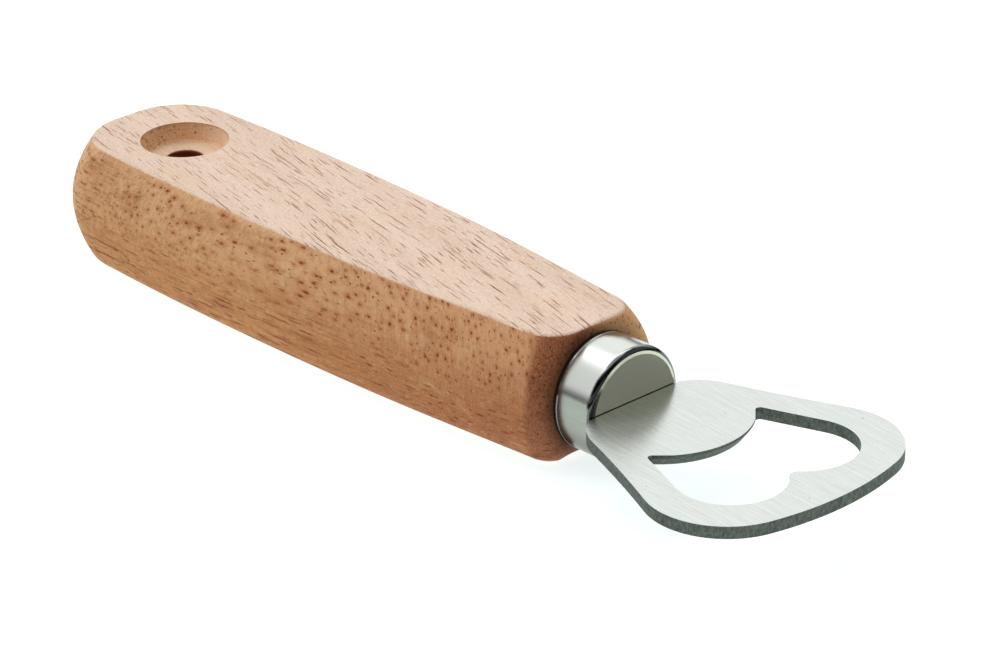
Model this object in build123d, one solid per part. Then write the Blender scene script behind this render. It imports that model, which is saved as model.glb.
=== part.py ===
from build123d import *
from math import atan, cos, degrees, radians, sin, tan
import os

# Crown-cap opener: a stamped steel head held by a slotted steel ferrule on a thick wooden handle.
# Millimetres. While a piece is drawn, X = 0 is the closed front face of the ferrule, +X points to
# the head, and Z = 0 is the mid plane of handle, ferrule and blade. At the end every piece moves to
# the final frame: origin at the middle of the underside of the overall box, +Z up.

# ---- driving dimensions -------------------------------------------------------------------
HANDLE_THICKNESS = 21.2
HANDLE_BACK = -119.8          # back end at mid height
HANDLE_FRONT = -7.5           # front end at mid height
HANDLE_STATIONS = (-106.0, -72.0, -38.0, -14.0)
HANDLE_HALF_WIDTHS = (14.9, 15.3, 14.2, 12.9)   # at mid height, at those stations
BACK_TAPER = 0.7              # the sides draw in by this much from the last station to the back end
FRONT_TAPER = 0.5             # and by this much from the first station to the front end
SIDE_BULGES = (2.7, 2.7, 3.0, 4.1)   # how far the sides stand out past the flat faces' outline
BACK_BULGE = 2.9
FRONT_BULGE = 0.25
BACK_CORNER_RADIUS = 10.0     # in plan
FRONT_CORNER_RADIUS = 5.4     # at the flat faces
MIDDLE_CORNER_RADIUS = 3.0    # the same corners at mid height
TOP_EDGE_RADIUS = 0.8
UNDER_EDGE_RADIUS = 4.2

HOLE_X = -102.3               # hanging hole
HOLE_RADIUS = 3.0
RECESS_RIM_RADIUS = 7.1
RECESS_FLOOR_RADIUS = 5.8
RECESS_DEPTH = 3.1
RECESS_CORNER_RADIUS = 1.2

FERRULE_RADIUS = 9.1
FERRULE_LENGTH = 7.7
FERRULE_WALL = 0.8
FERRULE_CORNER_RADIUS = 0.9
INNER_CORNER_RADIUS = 0.4
FACE_RADIUS = 8.0             # flat part of the closed front
FACE_RING_TILT = 15.0         # shallow cone between the flat part and the rounded corner
LIP_RADIUS = 9.16
LIP_LENGTH = 0.75
LIP_FLARE = 0.15
LIP_EDGE_RADIUS = 0.08
SLOT_DEPTH = 1.3
SLOT_CLEARANCE = 0.12         # above, below and beside the tang
SHOULDER_GAP = 0.18           # the head's shoulders stop this far from the ferrule

BLADE_THICKNESS = 1.95
HEAD_LENGTH = 41.2            # ferrule face to the tip of the head
HEAD_FRONT_CORNER = (39.5, 12.8)
HEAD_WIDEST = (23.0, 20.65)
HEAD_SIDE = (5.0, 13.5)
TONGUE_X = 19.0               # front of the prying tongue
TONGUE_SIDE = (16.3, 8.3)
TONGUE_BEVEL_HEIGHT = 1.5     # the tongue's edge is dressed back on the underside
TONGUE_BEVEL_DEPTH = 1.1
TONGUE_BEVEL_ANGLE = 50.0     # to each side of the middle
TOOTH_X = 31.6                # tip of the tooth that faces the tongue
TOOTH_HALF_WIDTH = 0.55
LOBE_X = 26.6                 # each side of the mouth ends in a round lobe
LOBE_Y = 7.45
LOBE_RADIUS = 8.2
RAIL_ANGLE = 21.0             # both rails of the head widen towards the front at this angle
NOTCH_X = 13.5                # back corners of the mouth
NOTCH_RADIUS = 0.7

TANG_HALF_WIDTH = 5.5
TANG_LENGTH = 42.0
TANG_CORNER = 2.5
BARB_DEPTH = 0.9
BARB_LENGTH = 3.0
BARB_PITCH = 7.0
BARB_START = 8.4              # first barb, from the tang's back end
BARB_COUNT = 4
SOCKET_HALF_WIDTH = 6.5
SOCKET_HEIGHT = 3.4
SOCKET_DEPTH = 44.0

SPIGOT_RADIUS = FERRULE_RADIUS - FERRULE_WALL
SPIGOT_RECESS = 1.6           # the spigot stops short of the cap's inner corner
HALF_THICKNESS = HANDLE_THICKNESS / 2
CUT_MARGIN = 0.1              # cutters overrun the edge they cut by this much


# ---- handle -------------------------------------------------------------------------------
def handle_outline(level):
    """Plan outline of the handle at a level from -1 (underside) over 0 (widest) to 1 (top)."""
    inset = level * level
    back = HANDLE_BACK + BACK_BULGE * inset
    front = HANDLE_FRONT - FRONT_BULGE * inset
    widths = [w - bulge * inset for w, bulge in zip(HANDLE_HALF_WIDTHS, SIDE_BULGES)]
    far_side = [(back, widths[0] - BACK_TAPER)]
    far_side += list(zip(HANDLE_STATIONS, widths))
    far_side += [(front, widths[-1] - FRONT_TAPER)]
    near_side = [(x, -y) for x, y in reversed(far_side)]
    with BuildSketch(Plane.XY.offset(level * HALF_THICKNESS)) as outline:
        with BuildLine():
            Spline(*far_side)
            Line(far_side[-1], near_side[0])
            Spline(*near_side)
            Line(near_side[-1], far_side[0])
        make_face()
        fillet(outline.vertices().sort_by(Axis.X)[:2], BACK_CORNER_RADIUS)
        front_corner = MIDDLE_CORNER_RADIUS + (FRONT_CORNER_RADIUS - MIDDLE_CORNER_RADIUS) * inset
        fillet(outline.vertices().sort_by(Axis.X)[-2:], front_corner)
    return outline.sketch.face()


def socket_box():
    """Blind slot for the tang, from the spigot's front into the handle."""
    length = SOCKET_DEPTH - SPIGOT_RECESS
    middle = Pos(-(SOCKET_DEPTH + SPIGOT_RECESS) / 2, 0, 0)
    return middle * Box(length, 2 * SOCKET_HALF_WIDTH, SOCKET_HEIGHT)


def make_handle():
    """Bulged wooden block with its spigot, tang socket and stepped hanging hole."""
    block = loft([handle_outline(level) for level in (-1.0, -0.5, 0.0, 0.5, 1.0)])
    block = fillet(block.faces().sort_by(Axis.Z)[-1].edges(), TOP_EDGE_RADIUS)
    block = fillet(block.faces().sort_by(Axis.Z)[0].edges(), UNDER_EDGE_RADIUS)
    base = Pos(-FERRULE_LENGTH, 0, 0)
    seat = base * extrude(Plane.YZ * Circle(LIP_RADIUS), FERRULE_LENGTH)
    spigot = base * extrude(Plane.YZ * Circle(SPIGOT_RADIUS), FERRULE_LENGTH - SPIGOT_RECESS)
    floor_z = HALF_THICKNESS - RECESS_DEPTH
    taper = degrees(atan((RECESS_RIM_RADIUS - RECESS_FLOOR_RADIUS) / RECESS_DEPTH))
    recess_floor = Pos(HOLE_X, 0, floor_z) * Circle(RECESS_FLOOR_RADIUS)
    recess = extrude(recess_floor, RECESS_DEPTH, taper=-taper)
    recess = fillet(recess.edges().sort_by(Axis.Z)[0], RECESS_CORNER_RADIUS)
    hole = Pos(HOLE_X, 0, 0) * Cylinder(HOLE_RADIUS, 2 * HANDLE_THICKNESS)
    return block - seat + spigot - recess - hole - socket_box()


# ---- ferrule ------------------------------------------------------------------------------
def make_ferrule():
    """Drawn cap: closed slotted front, rounded front corner, flared lip against the wood."""
    inner = SPIGOT_RADIUS
    lip_front = LIP_LENGTH - FERRULE_LENGTH
    ring_drop = (FERRULE_RADIUS - FACE_RADIUS) * tan(radians(FACE_RING_TILT))
    with BuildSketch(Plane.XZ) as profile:
        with BuildLine():
            Polyline(
                (0, 0), (0, FACE_RADIUS), (-ring_drop, FERRULE_RADIUS),
                (lip_front + LIP_FLARE, FERRULE_RADIUS), (lip_front, LIP_RADIUS),
                (-FERRULE_LENGTH, LIP_RADIUS), (-FERRULE_LENGTH, inner), (-FERRULE_WALL, inner),
                (-FERRULE_WALL, 0), (0, 0),
            )
        make_face()
    cap = revolve(profile.sketch, Axis.X)
    rims = cap.edges().filter_by(GeomType.CIRCLE)
    cap = fillet(rims.filter_by_position(Axis.X, -ring_drop, -ring_drop), FERRULE_CORNER_RADIUS)
    rims = cap.edges().filter_by(GeomType.CIRCLE)
    cap = fillet(rims.filter_by_position(Axis.X, -FERRULE_WALL, -FERRULE_WALL), INNER_CORNER_RADIUS)
    rims = cap.edges().filter_by(GeomType.CIRCLE)
    flare = lip_front + LIP_FLARE
    cap = fillet(rims.filter_by_position(Axis.X, flare, flare), LIP_EDGE_RADIUS)
    cap = fillet(cap.edges().filter_by(GeomType.CIRCLE).group_by(SortBy.RADIUS)[-1], LIP_EDGE_RADIUS)
    slot_height = BLADE_THICKNESS + 2 * SLOT_CLEARANCE
    slot_width = 2 * (TANG_HALF_WIDTH + SLOT_CLEARANCE)
    slot = Pos(-SLOT_DEPTH / 2, 0, 0) * Box(SLOT_DEPTH, slot_width, slot_height)
    return cap - slot


# ---- blade --------------------------------------------------------------------------------
def chain(start, heading, ends):
    """Arcs that leave start along heading and run smoothly into each other through the ends."""
    for end in ends:
        arc = TangentArc(start, end, tangent=heading)
        start = arc @ 1
        heading = arc % 1


def blade_outline():
    """Outline of the head: drawn from the middle of the front edge, then mirrored."""
    shoulder = (SHOULDER_GAP, FERRULE_RADIUS)
    with BuildSketch() as outline:
        with BuildLine():
            chain((HEAD_LENGTH, 0), (0, 1), [HEAD_FRONT_CORNER, HEAD_WIDEST, HEAD_SIDE, shoulder])
            Polyline(shoulder, (SHOULDER_GAP, 0), (HEAD_LENGTH, 0))
        make_face()
        mirror(about=Plane.XZ)
    return outline.sketch


def mouth_outline():
    """Cap mouth: convex tongue, rear notch, straight rail, round lobe and blunt tooth, mirrored."""
    rail = radians(RAIL_ANGLE)
    rail_front = (LOBE_X - LOBE_RADIUS * sin(rail), LOBE_Y + LOBE_RADIUS * cos(rail))
    notch = (NOTCH_X, rail_front[1] - (rail_front[0] - NOTCH_X) * tan(rail))
    lobe_side = (LOBE_X + LOBE_RADIUS, LOBE_Y)
    tooth_side = (TOOTH_X, TOOTH_HALF_WIDTH)
    with BuildSketch() as outline:
        with BuildLine():
            TangentArc((TONGUE_X, 0), TONGUE_SIDE, tangent=(0, 1))
            Polyline(TONGUE_SIDE, notch, rail_front)
            TangentArc(rail_front, lobe_side, tangent=(cos(rail), sin(rail)))
            TangentArc(lobe_side, tooth_side, tangent=(0, -1))
            Polyline(tooth_side, (TOOTH_X, 0), (TONGUE_X, 0))
        make_face()
        fillet(outline.vertices().sort_by(Axis.X)[0], NOTCH_RADIUS)
        mirror(about=Plane.XZ)
    return outline.sketch


def tang_outline():
    """Barbed tang from the shoulders back into the handle."""
    with BuildSketch() as outline:
        with Locations(((SHOULDER_GAP - TANG_LENGTH) / 2, 0)):
            Rectangle(TANG_LENGTH + SHOULDER_GAP, 2 * TANG_HALF_WIDTH)
        chamfer(outline.vertices().sort_by(Axis.X)[:2], TANG_CORNER)
        for index in range(BARB_COUNT):
            tip = -TANG_LENGTH + BARB_START + index * BARB_PITCH
            for side in (1, -1):
                edge = side * (TANG_HALF_WIDTH + CUT_MARGIN)
                root = side * (TANG_HALF_WIDTH - BARB_DEPTH)
                with BuildLine():
                    Polyline((tip, edge), (tip, root), (tip + BARB_LENGTH, edge), (tip, edge))
                make_face(mode=Mode.SUBTRACT)
    return outline.sketch


def tongue_bevel():
    """Cutter that dresses the underside of the tongue back along its arc."""
    reach = TONGUE_X - TONGUE_SIDE[0]
    radius = (reach**2 + TONGUE_SIDE[1] ** 2) / (2 * reach)
    root = radius - TONGUE_BEVEL_DEPTH
    outer = radius + CUT_MARGIN
    slope = TONGUE_BEVEL_HEIGHT / TONGUE_BEVEL_DEPTH
    underside = -BLADE_THICKNESS / 2
    with BuildSketch(Plane.XZ.rotated((0, 0, -TONGUE_BEVEL_ANGLE))) as section:
        with BuildLine():
            Polyline(
                (root, underside), (outer, underside + slope * (outer - root)),
                (outer, underside - CUT_MARGIN), (root, underside - CUT_MARGIN), (root, underside),
            )
        make_face()
    return Pos(TONGUE_X - radius, 0, 0) * revolve(section.sketch, Axis.Z, 2 * TONGUE_BEVEL_ANGLE)


def make_blade():
    """Stamped plate: head with its mouth, and the tang that runs through the slot."""
    plan = blade_outline() - mouth_outline() + tang_outline()
    plate = Pos(0, 0, -BLADE_THICKNESS / 2) * extrude(plan, BLADE_THICKNESS)
    return plate - tongue_bevel()


# ---- assembly -----------------------------------------------------------------------------
handle = make_handle()
ferrule = make_ferrule()
blade = make_blade()
adhesive = socket_box() - blade - ferrule

middle_x = (HEAD_LENGTH + HANDLE_BACK) / 2
place = Pos(-middle_x, 0, HALF_THICKNESS)
pieces = {"handle": handle, "ferrule": ferrule, "opener_blade": blade, "tang_adhesive": adhesive}

os.makedirs("parts", exist_ok=True)
for name, piece in pieces.items():
    export_step(place * piece, f"parts/{name}.step")
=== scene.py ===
from math import cos, radians, sin

import bpy
from mathutils import Matrix, Vector

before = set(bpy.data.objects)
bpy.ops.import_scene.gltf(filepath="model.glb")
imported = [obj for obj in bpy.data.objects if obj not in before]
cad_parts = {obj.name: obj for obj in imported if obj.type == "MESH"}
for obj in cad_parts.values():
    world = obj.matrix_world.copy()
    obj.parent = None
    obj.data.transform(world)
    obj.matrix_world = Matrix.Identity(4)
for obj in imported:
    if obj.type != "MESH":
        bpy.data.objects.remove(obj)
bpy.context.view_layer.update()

MM = 0.001

# camera: angles in degrees, distances in metres
AZIMUTH = 47.37
ELEVATION = 25.71
ROLL = -0.63
DISTANCE = 0.6661
AIM = Vector((0.0054, 0.00485, 0.0086))
LENS = 158.86

# places on the object in millimetres, in the row's frame
HOLE_X = -63.0           # hanging hole
RECESS_RIM = 7.1         # radius of the recess round it
BORE_EDGE = (3.35, 3.05)
BORE_DEPTH = (18.4, 17.7)
HALF = 10.6              # half the handle's thickness, and the height of the ferrule's axis
TOP = 2.0 * HALF
FERRULE_BACK = 31.6      # where the wood meets the ferrule

STUDIO_OPEN_SIDE = radians(10.0)   # turn of the light tent's open side
BRUSH_TURN = radians(4.0)          # turn of the brush lines on the head
FLOOR_SIZE = 1.4

# cells that hold a mark on the handle's sides: width along the grain, depth across it, shift
PORE_CELLS = (1.45, 1.35, 0.0)
SMALL_PORE_CELLS = (1.0, 0.95, 41.0)
DASH_CELLS = (5.0, 0.95, 17.0)
SHORT_DASH_CELLS = (2.6, 0.9, 63.0)
THREAD_CELLS = (22.0, 0.80, 29.0)

# colours of the flat faces, in linear light; a pair holds the two ends of a range
TOP_BANDS = ((0.665, 0.502, 0.387), (0.735, 0.572, 0.460))
TOP_CLOUD = (0.69, 0.500, 0.340)
TOP_FIBRE = (0.50, 0.325, 0.214)
TOP_PALE_SPECKLE = (0.88, 0.715, 0.600)
TOP_DARK_SPECKLE = (0.51, 0.352, 0.246)
TOP_VESSEL = (0.262, 0.052, 0.017)

# colours of the sides, the pairs from the back of the handle to its front; the lower pair is painted
# shade that darkens the sides towards the bottom
SIDE_HIGH = ((0.73, 0.415, 0.212), (0.68, 0.350, 0.180))
SIDE_LOW_PAINTED_SHADE = ((0.60, 0.270, 0.090), (0.40, 0.118, 0.032))
SIDE_BACK_END = (0.92, 0.60, 0.33)
SIDE_DARK_BLOTCH = (0.40, 0.150, 0.048)
SIDE_PALE_BLOTCH = (0.66, 0.385, 0.175)
SIDE_CHATTER = (0.74, 0.47, 0.24)
SIDE_DARK_DAPPLE = (0.38, 0.150, 0.050)
SIDE_PALE_DAPPLE = (0.74, 0.46, 0.235)
SIDE_THREAD = (0.32, 0.118, 0.038)
SIDE_LINE = (0.30, 0.108, 0.036)
SIDE_PALE_GRIT = (0.76, 0.47, 0.25)
SIDE_DARK_GRIT = (0.32, 0.118, 0.040)
SIDE_HALO = (0.45, 0.125, 0.032)
SIDE_PORE = (0.205, 0.036, 0.009)

# colours of the front end and of the hanging hole
END_GRAIN = ((0.125, 0.034, 0.013), (0.56, 0.205, 0.085))
END_BURNT = (0.080, 0.021, 0.009)
END_FAR_SIDE = (0.86, 0.475, 0.210)
END_PORE = (0.035, 0.008, 0.005)
# the next colour is painted shade round the ferrule, where the wood meets it
END_PAINTED_SHADE_ROUND_FERRULE = (0.08, 0.027, 0.015)
WALL_GRAIN = ((0.70, 0.385, 0.19), (0.95, 0.60, 0.36))
WALL_TOOL_MARK = (0.64, 0.34, 0.16)
# the next colour is painted light on the front part of the recess wall
WALL_PAINTED_LIGHT = (0.92, 0.66, 0.46)
WALL_CUT_VESSEL = (0.13, 0.035, 0.015)
WALL_TORN = (0.22, 0.075, 0.028)
RECESS_FLOOR = ((0.60, 0.41, 0.265), (0.72, 0.51, 0.345))
BORE = (0.19, 0.05, 0.022)

# colours of the metal
BLADE_FACE = ((0.485, 0.515, 0.490), (0.62, 0.650, 0.625))
BLADE_STAIN = (0.595, 0.622, 0.585)
BLADE_SPECK = (0.08, 0.07, 0.05)
EDGE_TEAR = ((0.060, 0.074, 0.062), (0.140, 0.160, 0.136))
EDGE_DARK_PATCH = (0.045, 0.054, 0.045)
EDGE_PALE_PATCH = (0.185, 0.205, 0.178)
BARREL = ((0.55, 0.573, 0.540), (0.60, 0.623, 0.590))
# the next two colours are painted shade: the barrel's reflection darkened low down and underneath
BARREL_LOWER_PAINTED_SHADE = ((0.29, 0.31, 0.267), (0.39, 0.41, 0.362))
BARREL_UNDERSIDE_PAINTED_SHADE = (0.05, 0.056, 0.050)
# painted shade that dims the highlight on the ferrule's upper front corner
FERRULE_BEVEL_PAINTED_SHADE = (0.26, 0.272, 0.255)
# painted reflection: a dark band on the ferrule's front corner, standing for the dark side of the
# room
FERRULE_CORNER_PAINTED_REFLECTION = (0.085, 0.095, 0.105)
# painted shade on the ferrule's lip, where it meets the wood
FERRULE_LIP_PAINTED_SHADE = (0.15, 0.158, 0.145)
FERRULE_FACE = ((0.79, 0.80, 0.63), (0.90, 0.91, 0.73))

# colours of the adhesive and of the floor
ADHESIVE = ((0.42, 0.31, 0.12), (0.62, 0.50, 0.24))
FLOOR = ((0.30, 0.33, 0.33), (0.31, 0.34, 0.34))
FLOOR_GLOW = (0.94, 1.0, 0.995)


# ---- node graphs --------------------------------------------------------------------------
class Graph:
    """Small helper that adds shader nodes and wires them together."""

    def __init__(self, owner):
        owner.use_nodes = True
        self.tree = owner.node_tree
        self.tree.nodes.clear()

    def add(self, kind, inputs=None, **settings):
        node = self.tree.nodes.new(kind)
        for name, value in settings.items():
            setattr(node, name, value)
        for name, value in (inputs or {}).items():
            self.plug(node.inputs[name], value)
        return node

    def plug(self, socket, value):
        if isinstance(value, bpy.types.NodeSocket):
            self.tree.links.new(value, socket)
        elif isinstance(value, tuple) and len(value) == 3 and socket.type == "RGBA":
            socket.default_value = (*value, 1.0)
        else:
            socket.default_value = value

    def math(self, operation, *values):
        node = self.add("ShaderNodeMath", operation=operation)
        for socket, value in zip(node.inputs, values):
            self.plug(socket, value)
        return node.outputs[0]

    def chain(self, operation, values):
        result = values[0]
        for value in values[1:]:
            result = self.math(operation, result, value)
        return result

    def total(self, *values):
        return self.chain("ADD", values)

    def product(self, *values):
        return self.chain("MULTIPLY", values)

    def largest(self, *values):
        return self.chain("MAXIMUM", values)

    def rest(self, value):
        """What is left of one."""
        return self.math("SUBTRACT", 1.0, value)

    def length(self, first, second):
        return self.math("SQRT", self.total(self.product(first, first), self.product(second, second)))

    def step(self, value, low, high, start=0.0, end=1.0):
        """Smooth step of value from start at low to end at high."""
        inputs = {"Value": value, "From Min": low, "From Max": high, "To Min": start, "To Max": end}
        return self.add("ShaderNodeMapRange", inputs, interpolation_type="SMOOTHSTEP").outputs[0]

    def vector(self, x, y, z=0.0):
        return self.add("ShaderNodeCombineXYZ", {"X": x, "Y": y, "Z": z}).outputs[0]

    def stretched(self, places, scales, slice_at=0.0):
        """Vector of two or three places, each times its scale; two of them lie in the given slice."""
        scaled = [self.product(place, scale) for place, scale in zip(places, scales)]
        return self.vector(*scaled) if len(scaled) == 3 else self.vector(*scaled, slice_at)

    def split(self, vector):
        return self.add("ShaderNodeSeparateXYZ", {"Vector": vector}).outputs

    def mix(self, amount, first, second):
        node = self.add("ShaderNodeMix", data_type="RGBA", clamp_factor=True)
        self.plug(node.inputs[0], amount)
        self.plug(node.inputs[6], first)
        self.plug(node.inputs[7], second)
        return node.outputs[2]

    def between(self, value, spread, colors):
        """From the first of two colours to the second as the value goes from -spread to spread."""
        return self.mix(self.step(value, -spread, spread), *colors)

    def coats(self, color, *layers):
        """Lay colours over each other: each layer is how much of it shows, and its colour."""
        for amount, coat in layers:
            color = self.mix(amount, color, coat)
        return color

    def noise(self, places, scales, slice_at=0.0, detail=2.0, roughness=0.5):
        """Noise over the stretched places, centred on zero."""
        vector = self.stretched(places, scales, slice_at)
        inputs = {"Vector": vector, "Scale": 1.0, "Detail": detail, "Roughness": roughness}
        return self.math("SUBTRACT", self.add("ShaderNodeTexNoise", inputs).outputs[0], 0.5)

    def spots(self, vector, smallest, largest, share, softness, dimensions="2D"):
        """Scattered spots: this share of the cells holds one, of random size and strength."""
        inputs = {"Vector": vector, "Scale": 1.0, "Randomness": 1.0}
        cells = self.add("ShaderNodeTexVoronoi", inputs, voronoi_dimensions=dimensions)
        chance = self.split(cells.outputs["Color"])
        radius = self.math("MULTIPLY_ADD", chance[0], largest - smallest, smallest)
        inner = self.product(radius, 1.0 - softness)
        inside = self.step(cells.outputs["Distance"], radius, inner)
        present = self.math("LESS_THAN", chance[1], share)
        strength = self.math("MULTIPLY_ADD", chance[2], 0.6, 0.4)
        return self.product(inside, present, strength)

    def bump(self, height, distance):
        return self.add("ShaderNodeBump", {"Height": height, "Distance": distance * MM}).outputs[0]

    def surface(self, **inputs):
        named = {name.replace("_", " "): value for name, value in inputs.items()}
        shader = self.add("ShaderNodeBsdfPrincipled", named)
        output = self.add("ShaderNodeOutputMaterial")
        self.tree.links.new(shader.outputs[0], output.inputs["Surface"])

    def place(self):
        """Object coordinates in millimetres."""
        scaled = self.add("ShaderNodeVectorMath", operation="SCALE")
        self.plug(scaled.inputs[0], self.add("ShaderNodeTexCoord").outputs["Object"])
        scaled.inputs["Scale"].default_value = 1.0 / MM
        return self.split(scaled.outputs[0])

    def facing(self):
        return self.split(self.add("ShaderNodeNewGeometry").outputs["Normal"])


def new_material(name):
    material = bpy.data.materials.new(name)
    return material, Graph(material)


# ---- wood ---------------------------------------------------------------------------------
def flat_grain(g, x, y, z):
    """Sanded flat faces: colour, red-brown vessel lines, fibre and speckle."""
    wander = g.product(g.noise((x, y), (0.022, 0.05), detail=1.0), 5.0)
    ripple = g.product(g.noise((x, y), (0.20, 0.6), 3.0), 0.45)
    across = g.total(y, g.product(x, 0.22), wander, ripple)

    def vessels(length, pitch, shift, smallest, largest, share):
        cell = g.vector(g.math("DIVIDE", g.total(x, shift), length),
                        g.math("DIVIDE", g.total(across, shift), pitch))
        return g.spots(cell, smallest, largest, share, softness=0.7)

    marks = g.largest(vessels(15.0, 0.62, 0.0, 0.10, 0.24, 0.64),
                      vessels(24.0, 0.80, 37.0, 0.08, 0.22, 0.48),
                      vessels(8.0, 0.55, 71.0, 0.10, 0.22, 0.46))
    crowd = g.noise((x, y), (0.06, 0.14), 9.0, detail=1.0)
    marks = g.product(marks, g.step(crowd, -0.30, 0.0, 0.7, 1.0))

    fibre = g.noise((x, across), (0.22, 3.0), 1.0, detail=3.0, roughness=0.6)
    band = g.noise((x, across), (0.02, 0.22), 5.0)
    cloud = g.noise((x, y), (0.07, 0.16), 12.0, detail=3.0)
    speckle = g.noise((x, y, z), (2.2, 3.4, 1.0), detail=3.0, roughness=0.65)
    color = g.coats(
        g.between(band, 0.22, TOP_BANDS),
        (g.step(cloud, 0.02, 0.3), TOP_CLOUD),
        (g.step(fibre, -0.02, -0.32, 0.0, 0.9), TOP_FIBRE),
        (g.step(speckle, 0.0, 0.30), TOP_PALE_SPECKLE),
        (g.step(speckle, 0.0, -0.30, 0.0, 0.8), TOP_DARK_SPECKLE),
        (marks, TOP_VESSEL),
    )
    return color, marks, fibre, speckle


def side_grain(g, x, y, z):
    """Sides, unrolled round the handle: open pores high up, short streaks and lines lower down, and
    painted shade darkening them towards the bottom.
    """
    turn = g.step(x, -55.0, 10.0, -1.0, 1.0)
    jitter = g.product(g.noise((x, y, z), (1.3, 1.3, 1.3)), 0.35)
    along = g.total(x, g.product(y, turn), jitter)
    up = g.total(z, jitter, g.product(along, -0.02))
    drift = g.noise((along, z), (0.05, 0.04), 4.0)
    lower = g.step(g.total(z, g.product(drift, 14.0)), 12.5, 6.5)
    back_end = g.step(x, -52.0, -72.0)
    streaky = g.largest(lower, g.product(back_end, 0.75))
    upper = g.rest(g.product(streaky, 0.8))
    crowding = g.noise((along, z), (0.09, 0.2), 8.0, detail=1.0)
    crowded = g.step(crowding, -0.22, 0.02, 0.35, 1.0)

    def scattered(cells, smallest, largest, share, softness=0.55):
        width, depth, shift = cells
        cell = g.vector(g.math("DIVIDE", g.total(along, shift), width),
                        g.math("DIVIDE", g.total(up, shift), depth))
        return g.spots(cell, smallest, largest, share, softness)

    pores = g.largest(scattered(PORE_CELLS, 0.13, 0.25, 0.62),
                      scattered(SMALL_PORE_CELLS, 0.12, 0.22, 0.42))
    dashes = g.largest(scattered(DASH_CELLS, 0.13, 0.28, 0.75),
                       scattered(SHORT_DASH_CELLS, 0.13, 0.3, 0.5))
    threads = scattered(THREAD_CELLS, 0.16, 0.36, 0.95, softness=0.7)
    marks = g.largest(g.product(pores, crowded, upper),
                      g.product(dashes, streaky, crowded, 0.95),
                      g.product(threads, back_end, lower))
    pore_halo = scattered(PORE_CELLS, 0.42, 0.85, 0.62, softness=0.95)
    dash_halo = scattered(DASH_CELLS, 0.35, 0.75, 0.75, softness=0.95)
    halo = g.largest(g.product(pore_halo, upper), g.product(dash_halo, streaky, 0.7))

    chatter = g.noise((along, z), (1.3, 0.16), 1.0)
    thread = g.noise((along, z), (3.0, 0.6), 2.0, detail=3.0, roughness=0.65)
    lines = g.noise((along, up), (0.22, 2.2), 3.0, detail=3.0, roughness=0.65)
    blotch = g.noise((along, z), (0.12, 0.2), 6.0, detail=3.0, roughness=0.6)
    dapple = g.noise((along, z), (0.7, 0.9), 10.0, detail=3.0, roughness=0.65)
    grit = g.noise((along, z), (3.4, 3.4), 7.0, detail=3.0, roughness=0.7)
    forward = g.step(x, -45.0, 35.0)
    height = g.math("DIVIDE", z, TOP)
    high = g.mix(forward, *SIDE_HIGH)
    low_painted_shade = g.mix(forward, *SIDE_LOW_PAINTED_SHADE)
    color = g.coats(
        # the sides go darker towards the bottom: painted shade
        g.mix(g.step(height, 0.20, 1.0), low_painted_shade, high),
        (g.step(x, -70.0, -78.0, 0.0, 0.6), SIDE_BACK_END),
        (g.step(blotch, -0.05, 0.3, 0.0, 0.7), SIDE_DARK_BLOTCH),
        (g.step(blotch, -0.02, -0.3, 0.0, 0.6), SIDE_PALE_BLOTCH),
        (g.product(g.step(chatter, 0.02, 0.28), g.step(height, 0.35, 0.7), 0.6), SIDE_CHATTER),
        (g.step(dapple, 0.0, 0.25, 0.0, 0.5), SIDE_DARK_DAPPLE),
        (g.step(dapple, 0.0, -0.25, 0.0, 0.4), SIDE_PALE_DAPPLE),
        (g.step(thread, 0.05, -0.28, 0.0, 0.55), SIDE_THREAD),
        (g.product(g.step(lines, 0.05, -0.25), streaky, 0.8), SIDE_LINE),
        (g.step(grit, 0.0, 0.30, 0.0, 0.6), SIDE_PALE_GRIT),
        (g.step(grit, 0.0, -0.30, 0.0, 0.5), SIDE_DARK_GRIT),
        (g.product(halo, 0.7), SIDE_HALO),
        (marks, SIDE_PORE),
    )
    return color, marks, thread


def front_grain(g, y, z, marks, rough, burn):
    """End grain at the front: dark, with painted shade round the ferrule on the near side, paler on
    the far side.
    """
    near_side = g.step(y, 4.0, -4.0)
    # ring round the ferrule that takes the painted shade
    painted_shade_round_ferrule = g.step(g.length(y, g.math("SUBTRACT", z, HALF)), 12.0, 9.2)
    color = g.between(rough, 0.3, END_GRAIN)
    color = g.mix(g.step(burn, -0.05, 0.25, 0.0, 0.5), color, END_BURNT)
    color = g.mix(near_side, g.mix(0.75, color, END_FAR_SIDE), color)
    return g.coats(
        color,
        (g.product(marks, 0.7), END_PORE),
        (g.product(painted_shade_round_ferrule, near_side, 0.6), END_PAINTED_SHADE_ROUND_FERRULE),
    )


def recess_wall_color(g, x, y, z, out_x, from_hole, rough, burn):
    """Cut grain on the wall of the recess: turned rings, cut vessels, torn fibres at one end, and
    painted light making the front part of the wall paler.
    """
    cut = g.spots(g.stretched((x, y, z), (1.2, 1.2, 1.1)), 0.12, 0.42, 0.85, 0.7, "3D")
    torn = g.noise((x, y, z), (1.1, 1.1, 2.6), detail=4.0, roughness=0.75)
    tool = g.noise((from_hole, z), (2.0, 3.0))
    torn_end = g.step(g.total(g.product(out_x, 0.68), g.product(y, 0.74)), -1.5, -4.5)
    backward = g.step(g.total(out_x, g.product(burn, 4.0)), 0.5, -4.5)
    color = g.mix(g.step(rough, -0.2, 0.25), *WALL_GRAIN)
    color = g.mix(g.step(tool, 0.0, 0.3, 0.0, 0.4), color, WALL_TOOL_MARK)
    # the front part of the wall, which faces the light, is mixed paler: painted light
    color = g.mix(backward, g.mix(0.55, color, WALL_PAINTED_LIGHT), color)
    return g.coats(
        color,
        (g.product(cut, g.math("MULTIPLY_ADD", backward, 0.8, 0.15)), WALL_CUT_VESSEL),
        (g.product(g.step(torn, 0.0, 0.16), torn_end, 0.8), WALL_TORN),
    )


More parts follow.
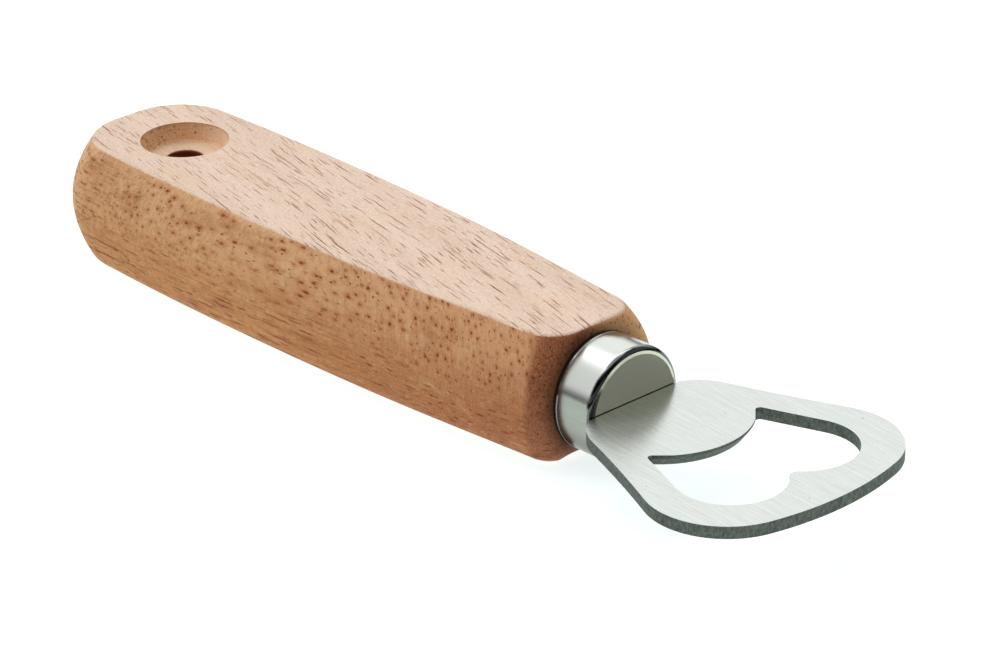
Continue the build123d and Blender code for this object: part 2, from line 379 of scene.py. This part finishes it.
def wood_material():
    material, g = new_material("rubberwood")
    x, y, z = g.place()
    nx, ny, nz = g.facing()
    flat = g.math("ABSOLUTE", nz)
    rough = g.noise((x, y, z), (4.5, 4.5, 2.2), detail=4.0, roughness=0.75)
    burn = g.noise((x, y, z), (0.2, 0.35, 0.18), detail=3.0, roughness=0.6)

    top_color, top_marks, fibre, speckle = flat_grain(g, x, y, z)
    side_color, side_marks, thread = side_grain(g, x, y, z)
    front_end = g.product(g.step(g.total(nx, g.product(burn, 0.35)), 0.0, 0.45),
                          g.step(x, FERRULE_BACK - 16.0, FERRULE_BACK - 6.0))
    side_color = g.mix(front_end, side_color, front_grain(g, y, z, side_marks, rough, burn))

    out_x = g.math("SUBTRACT", x, HOLE_X)
    from_hole = g.length(out_x, y)
    in_recess = g.product(g.step(from_hole, RECESS_RIM + 0.15, RECESS_RIM - 0.1),
                          g.step(z, TOP - 0.05, TOP - 0.35))
    wall = g.product(in_recess, g.step(flat, 0.97, 0.55))
    bore = g.product(g.step(from_hole, *BORE_EDGE), g.step(z, *BORE_DEPTH))

    is_flat = g.step(g.total(flat, g.product(speckle, 0.10)), 0.70, 0.86)
    color = g.coats(
        g.mix(is_flat, side_color, top_color),
        (g.product(in_recess, 0.8), g.between(rough, 0.3, RECESS_FLOOR)),
        (wall, recess_wall_color(g, x, y, z, out_x, from_hole, rough, burn)),
        (bore, BORE),
    )
    side_share = g.rest(is_flat)
    relief = g.total(g.product(top_marks, is_flat, -0.6), g.product(side_marks, side_share, -0.5),
                     g.product(fibre, 0.15, is_flat), g.product(thread, 0.3, side_share),
                     g.product(rough, g.largest(front_end, wall)))
    g.surface(Base_Color=color, Roughness=g.math("MULTIPLY_ADD", fibre, 0.2, 0.60),
              Specular_IOR_Level=0.16, Normal=g.bump(relief, 0.12))
    return material


# ---- metal --------------------------------------------------------------------------------
def brushed(g, x, y, z, angle=0.0):
    """Brush lines along X, turned by a small angle in plan: fine ones and coarse ones."""
    turned = g.total(g.product(y, cos(angle)), g.product(x, sin(angle)))
    along = g.total(g.product(x, cos(angle)), g.product(y, -sin(angle)))
    fine = g.noise((along, turned, z), (0.20, 9.0, 9.0), detail=3.0, roughness=0.7)
    coarse = g.noise((along, turned, z), (0.07, 3.4, 3.4), detail=3.0, roughness=0.6)
    return fine, coarse


def sheared_edge_color(g, x, y, z, tear):
    """Dark sheared edge with fine upright marks and grey patches."""
    grey = g.noise((x, y, z), (1.3, 1.3, 1.8), detail=4.0, roughness=0.7)
    return g.coats(
        g.between(tear, 0.25, EDGE_TEAR),
        (g.step(grey, 0.0, 0.25, 0.0, 0.8), EDGE_DARK_PATCH),
        (g.step(grey, 0.0, -0.25, 0.0, 0.7), EDGE_PALE_PATCH),
    )


def blade_material():
    material, g = new_material("brushed_blade")
    x, y, z = g.place()
    nx, ny, nz = g.facing()
    flat = g.step(g.math("ABSOLUTE", nz), 0.6, 0.9)
    fine, coarse = brushed(g, x, y, z, BRUSH_TURN)
    lines = g.total(fine, g.product(coarse, 0.5))
    stain = g.noise((x, y), (0.12, 0.12), detail=3.0)
    specks = g.spots(g.stretched((x, y), (0.16, 0.16)), 0.01, 0.035, 0.6, 0.4)
    face = g.coats(
        g.between(lines, 0.3, BLADE_FACE),
        (g.step(stain, 0.0, 0.35, 0.0, 0.5), BLADE_STAIN),
        (specks, BLADE_SPECK),
    )
    tear = g.noise((x, y, z), (3.2, 3.2, 1.2), detail=3.0, roughness=0.65)
    color = g.mix(flat, sheared_edge_color(g, x, y, z, tear), face)
    on_edge = g.rest(flat)
    roughness = g.total(g.product(on_edge, 0.25), g.math("MULTIPLY_ADD", fine, 0.08, 0.26))
    relief = g.total(g.product(fine, flat, 0.38), g.product(coarse, flat, 0.2),
                     g.product(tear, on_edge, 1.5))
    g.surface(Base_Color=color, Metallic=1.0, Roughness=roughness, Normal=g.bump(relief, 0.02),
              Anisotropic=0.7, Tangent=g.vector(0.0, 1.0, 0.0))
    return material


def ferrule_material():
    material, g = new_material("polished_steel")
    x, y, z = g.place()
    nx, ny, nz = g.facing()
    fine, coarse = brushed(g, x, y, z)
    swirl = g.noise((x, y, z), (4.0, 0.5, 7.0), detail=3.0, roughness=0.7)
    front = g.step(nx, 0.93, 0.99)
    # upper front corner of the ferrule, dimmed with painted shade
    bevel_painted_shade = g.product(g.step(nx, 0.02, 0.12), g.step(z, HALF + 1.0, HALF + 3.0))
    # ring at the back of the ferrule, next to the wood, darkened with painted shade
    lip_painted_shade = g.step(x, FERRULE_BACK + 0.9, FERRULE_BACK + 0.7)
    color = g.coats(
        g.between(fine, 0.35, BARREL),
        # painted shade: the barrel goes darker below its upper side and nearly black underneath, in
        # place of the shaded floor it would reflect
        (g.step(z, HALF + 3.4, HALF + 2.0), g.between(fine, 0.3, BARREL_LOWER_PAINTED_SHADE)),
        (g.step(z, HALF - 1.0, HALF - 8.0), BARREL_UNDERSIDE_PAINTED_SHADE),
        (bevel_painted_shade, FERRULE_BEVEL_PAINTED_SHADE),
        # dark band on the front corner: painted reflection
        (g.product(g.step(nx, 0.25, 0.45), 0.85), FERRULE_CORNER_PAINTED_REFLECTION),
        (lip_painted_shade, FERRULE_LIP_PAINTED_SHADE),
        (front, g.between(swirl, 0.3, FERRULE_FACE)),
    )
    corner = g.product(g.step(nx, 0.10, 0.35), g.rest(front))
    roughness = g.total(g.product(corner, -0.12), g.math("MULTIPLY_ADD", fine, 0.05, 0.21))
    relief = g.total(g.product(fine, 0.5), g.product(coarse, 0.1))
    g.surface(Base_Color=color, Metallic=1.0, Roughness=roughness, Normal=g.bump(relief, 0.005))
    return material


def adhesive_material():
    material, g = new_material("set_adhesive")
    cloud = g.noise(g.place(), (0.4, 0.4, 0.4), detail=3.0)
    g.surface(Base_Color=g.between(cloud, 0.3, ADHESIVE), Roughness=0.4, Normal=g.bump(cloud, 0.2))
    return material


def paint(node, material):
    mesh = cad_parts[node].data
    mesh.materials.clear()
    mesh.materials.append(material)


# ---- studio -------------------------------------------------------------------------------
def make_floor():
    bpy.ops.mesh.primitive_plane_add(size=FLOOR_SIZE)
    floor = bpy.context.object
    floor.name = "floor"
    material, g = new_material("floor")
    x, y, z = g.place()
    paper = g.noise((x, y), (0.3, 0.3))
    g.surface(Base_Color=g.between(paper, 0.4, FLOOR), Roughness=0.9, Specular_IOR_Level=0.1,
              Emission_Color=FLOOR_GLOW, Emission_Strength=0.86)
    floor.data.materials.append(material)


def make_world():
    """Light tent with a ring of brighter light overhead, dark low down and on its open side."""
    world = bpy.data.worlds.new("studio")
    bpy.context.scene.world = world
    g = Graph(world)
    dx, dy, dz = g.split(g.add("ShaderNodeTexCoord").outputs["Generated"])
    toward = g.total(g.product(dx, cos(STUDIO_OPEN_SIDE)), g.product(dy, -sin(STUDIO_OPEN_SIDE)))
    dark_side = g.product(g.step(toward, -0.30, 0.02), g.step(dz, 0.96, 0.86))
    tent = g.product(g.step(dz, 0.06, 0.28), g.rest(dark_side))
    ring = g.product(g.step(dz, 0.74, 0.80), g.step(dz, 0.97, 0.93), 2.8)
    card = g.product(g.step(dz, 0.10, 0.18), g.step(dz, 0.42, 0.30), g.step(dy, 0.20, -0.20), 0.32)
    far_glow = g.product(g.step(dz, 0.0, 0.45, 0.0, 0.34), g.step(dz, 0.80, 0.60),
                         g.step(dy, 0.20, 0.50))
    level = g.total(0.02, tent, g.product(ring, g.rest(g.product(dark_side, 0.9))), far_glow,
                    g.product(card, dark_side))
    background = g.add("ShaderNodeBackground", {"Color": (1.0, 1.0, 1.0), "Strength": level})
    output = g.add("ShaderNodeOutputWorld")
    g.tree.links.new(background.outputs[0], output.inputs["Surface"])


def make_camera():
    azimuth = radians(AZIMUTH)
    elevation = radians(ELEVATION)
    back = Vector((sin(azimuth) * cos(elevation), -cos(azimuth) * cos(elevation), sin(elevation)))
    data = bpy.data.cameras.new("camera")
    data.lens = LENS
    data.clip_start = 0.01
    camera = bpy.data.objects.new("camera", data)
    camera.location = AIM + DISTANCE * back
    turn = back.to_track_quat("Z", "Y").to_matrix() @ Matrix.Rotation(radians(ROLL), 3, "Z")
    camera.rotation_euler = turn.to_euler()
    bpy.context.scene.collection.objects.link(camera)
    bpy.context.scene.camera = camera


paint("handle", wood_material())
paint("opener_blade", blade_material())
paint("ferrule", ferrule_material())
paint("tang_adhesive", adhesive_material())
make_floor()
make_world()
make_camera()
bpy.context.scene.view_settings.view_transform = "Standard"
